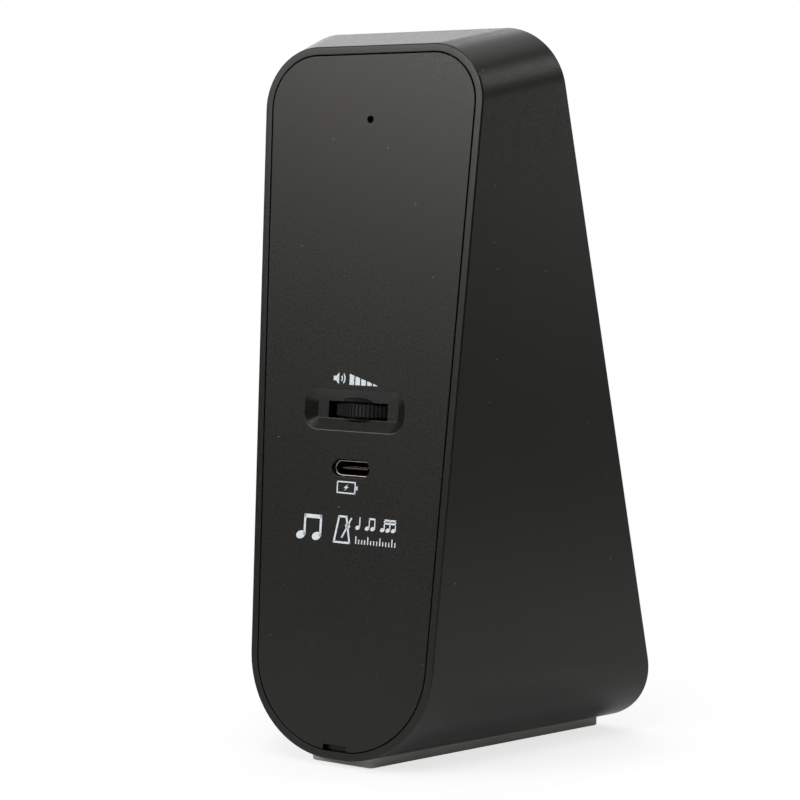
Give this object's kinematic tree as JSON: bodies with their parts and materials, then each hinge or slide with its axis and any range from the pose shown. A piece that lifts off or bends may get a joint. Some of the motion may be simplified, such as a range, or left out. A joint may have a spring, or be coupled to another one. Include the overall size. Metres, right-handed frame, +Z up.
{
  "type": "electronic metronome",
  "caption": "Electronic metronome with a tapered leaning body, tempo dial, round keys, smoked display, speaker slots, rear volume thumbwheel and charging socket.",
  "frame": {"origin": "centre of the footprint box, on the plane that the base pad stands on", "axes": "+Z up, -Y towards the player (front face), +Y towards the rear panel, X across"},
  "size_m": [0.0842, 0.0641, 0.1531],
  "materials": {
    "casing_plastic": "fine matte moulded texture",
    "fascia_plastic": "satin black",
    "knob_plastic": "matte, ribbed edge",
    "pad_rubber": "matte grey silicone",
    "key_rubber": "matte",
    "smoked_lens": "polished smoked acrylic",
    "digit_face": "matte",
    "light_guide": "translucent white",
    "steel": "plain",
    "board_laminate": "solder mask",
    "component_plastic": "matte",
    "painted_steel": "satin black",
    "cone_paper": "pressed paper",
    "foam": "open cell foam",
    "grille_fabric": "fine woven mesh",
    "cell_wrap": "shrink film",
    "lead_red": "wire insulation",
    "lead_black": "wire insulation"
  },
  "bodies": {
    "casing": {"shell": "casing_plastic", "rear_panel": "casing_plastic", "front_panel": "fascia_plastic", "base_pad": "pad_rubber", "microphone_boot": "key_rubber", "display_lens": "smoked_lens", "digit_display": "digit_face", "pendulum_light_guide": "light_guide", "ballast_weight": "steel", "usb_socket_shell": "steel", "microphone_capsule": "steel", "speaker_magnet": "steel", "board_screw_1": "steel", "board_screw_2": "steel", "board_screw_3": "steel", "board_screw_4": "steel", "speaker_screw_1": "steel", "speaker_screw_2": "steel", "speaker_screw_3": "steel", "speaker_screw_4": "steel", "main_board": "board_laminate", "usb_board": "board_laminate", "volume_board": "board_laminate", "encoder_body": "component_plastic", "volume_pot_body": "component_plastic", "usb_socket_tongue": "component_plastic", "battery_tray": "component_plastic", "beat_switch": "component_plastic", "sound_switch": "component_plastic", "tap_switch": "component_plastic", "play_switch": "component_plastic", "speaker_frame": "painted_steel", "speaker_cone": "cone_paper", "speaker_gasket": "foam", "grille_cloth": "grille_fabric", "battery_cell": "cell_wrap", "battery_lead_positive": "lead_red", "speaker_lead_positive": "lead_red", "battery_lead_negative": "lead_black", "speaker_lead_negative": "lead_black"},
    "tempo_dial": {"tempo_knob": "knob_plastic", "encoder_shaft": "steel"},
    "beat_key": {"beat_button": "key_rubber"},
    "sound_key": {"sound_button": "key_rubber"},
    "tap_key": {"tap_button": "key_rubber"},
    "play_key": {"play_button": "key_rubber"},
    "volume_dial": {"volume_wheel": "knob_plastic", "volume_wheel_screw": "steel"}
  },
  "joints": [
    {"name": "tempo_turn", "type": "hinge", "parent": "casing", "child": "tempo_dial", "pos_m": [0, -0.01892, 0.0676], "axis": [0, -0.9806, 0.1959], "continuous": true},
    {"name": "beat_press", "type": "slide", "parent": "casing", "child": "beat_key", "axis": [0, 0.9806, -0.1959], "range_m": [0, 0.0006], "stiffness_N_per_m": 1000},
    {"name": "sound_press", "type": "slide", "parent": "casing", "child": "sound_key", "axis": [0, 0.9806, -0.1959], "range_m": [0, 0.0006], "stiffness_N_per_m": 1000},
    {"name": "tap_press", "type": "slide", "parent": "casing", "child": "tap_key", "axis": [0, 0.9806, -0.1959], "range_m": [0, 0.0006], "stiffness_N_per_m": 1000},
    {"name": "play_press", "type": "slide", "parent": "casing", "child": "play_key", "axis": [0, 0.9806, -0.1959], "range_m": [0, 0.0006], "stiffness_N_per_m": 1000},
    {"name": "volume_turn", "type": "hinge", "parent": "casing", "child": "volume_dial", "pos_m": [0, 0.01359, 0.07265], "axis": [0, -0.1063, 0.9943], "range_deg": [-140, 140]}
  ]
}
